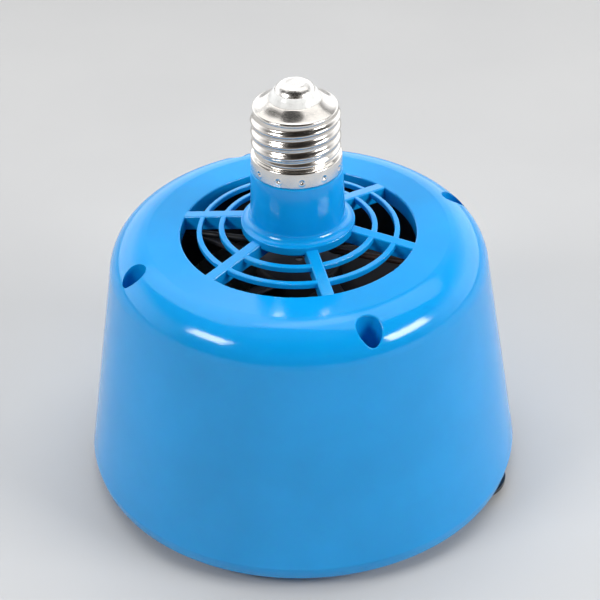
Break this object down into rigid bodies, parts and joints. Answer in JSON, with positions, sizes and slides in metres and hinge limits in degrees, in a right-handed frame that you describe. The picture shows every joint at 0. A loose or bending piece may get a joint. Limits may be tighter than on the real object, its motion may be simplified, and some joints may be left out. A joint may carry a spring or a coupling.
{
  "type": "screw-in fan heater",
  "caption": "Blue bell-shaped fan heater that screws into a lampholder, with a ventilated top, an outlet in its base and a thermostat knob.",
  "frame": {"origin": "centre of the E27 cap's skirt edge, where it seats on the neck", "axes": "+Z along the cap's axis, out through the centre contact; the housing hangs below; the thermostat knob is 21.5 degrees clockwise of +X seen from above"},
  "size_m": [0.1358, 0.1358, 0.1338],
  "materials": {
    "housing_blue": "glossy moulded sky-blue plastic, fine handling marks",
    "cap_nickel": "bright nickel-plated brass, rolled thread",
    "contact_tin": "bright tinned contact with a soldered centre",
    "insulator_white": "white vitreous glass insulator",
    "knob_black": "glossy black plastic knob",
    "fan_black": "satin black glass-filled nylon",
    "motor_nylon": "natural white nylon",
    "screw_steel": "zinc-plated screws",
    "zinc_steel": "zinc-plated pressed steel",
    "shaft_steel": "ground steel",
    "guard_chrome": "nickel-plated welded wire",
    "bronze": "sintered bronze",
    "brass": "bright stamped brass",
    "silver": "silver contact metal",
    "copper": "enamelled copper",
    "lamination": "stacked iron laminations and ferrite",
    "carbon": "pressed carbon",
    "board_green": "glass-fibre board with green lacquer",
    "diode_black": "black moulded diode bodies",
    "capacitor_yellow": "yellow dipped film capacitor",
    "mica": "pressed mica sheet, silvery brown flakes",
    "nichrome": "bright to straw-tinted resistance wire",
    "fuse_body": "plain metal fuse case",
    "ceramic": "unglazed white steatite",
    "cutout_aluminium": "pressed aluminium",
    "phenolic": "black phenolic",
    "lead_brown": "dark brown silicone insulation",
    "lead_black": "black silicone insulation"
  },
  "bodies": {
    "body": {"housing_shell": "housing_blue", "bottom_cover": "housing_blue", "cap_shell": "cap_nickel", "cap_contact": "contact_tin", "cap_insulator": "insulator_white", "fan_frame": "fan_black", "motor_end_cap": "motor_nylon", "cover_screws": "screw_steel", "fan_screws": "screw_steel", "motor_screws": "screw_steel", "thermostat_screws": "screw_steel", "cutout_screw": "screw_steel", "motor_can": "zinc_steel", "air_duct": "zinc_steel", "cutout_bracket": "zinc_steel", "thermostat_bracket": "zinc_steel", "outlet_guard": "guard_chrome", "motor_bush_front": "bronze", "motor_bush_rear": "bronze", "thermostat_bush": "brass", "heater_eyelets": "brass", "cutout_tabs": "brass", "motor_terminals": "brass", "thermostat_moving_blade": "brass", "thermostat_fixed_blade": "brass", "thermostat_contacts": "silver", "thermostat_rivet": "silver", "cutout_rivets": "silver", "motor_magnets": "lamination", "motor_brushes": "carbon", "rectifier_board": "board_green", "rectifier_diodes": "diode_black", "motor_capacitor": "capacitor_yellow", "mica_liner": "mica", "mica_plate_long": "mica", "mica_plate_cross": "mica", "heater_coil_upper": "nichrome", "heater_coil_lower": "nichrome", "thermal_fuse": "fuse_body", "duct_beads": "ceramic", "thermostat_insulators": "ceramic", "cutout_cap": "cutout_aluminium", "cutout_body": "phenolic", "live_lead": "lead_brown", "link_lead_thermostat": "lead_brown", "link_lead_heater": "lead_brown", "neutral_lead": "lead_black", "motor_leads": "lead_black"},
    "rotor": {"impeller": "fan_black", "motor_shaft": "shaft_steel", "armature_core": "lamination", "armature_windings": "copper", "commutator": "copper"},
    "control": {"thermostat_knob": "knob_black", "thermostat_spindle": "shaft_steel"}
  },
  "joints": [
    {"name": "fan_spin", "type": "hinge", "parent": "body", "child": "rotor", "pos_m": [0, 0, -0.0375], "axis": [0, 0, 1], "continuous": true},
    {"name": "thermostat_turn", "type": "hinge", "parent": "body", "child": "control", "pos_m": [0.05266, -0.02074, -0.1], "axis": [0, 0, -1], "range_deg": [0, 270]}
  ]
}
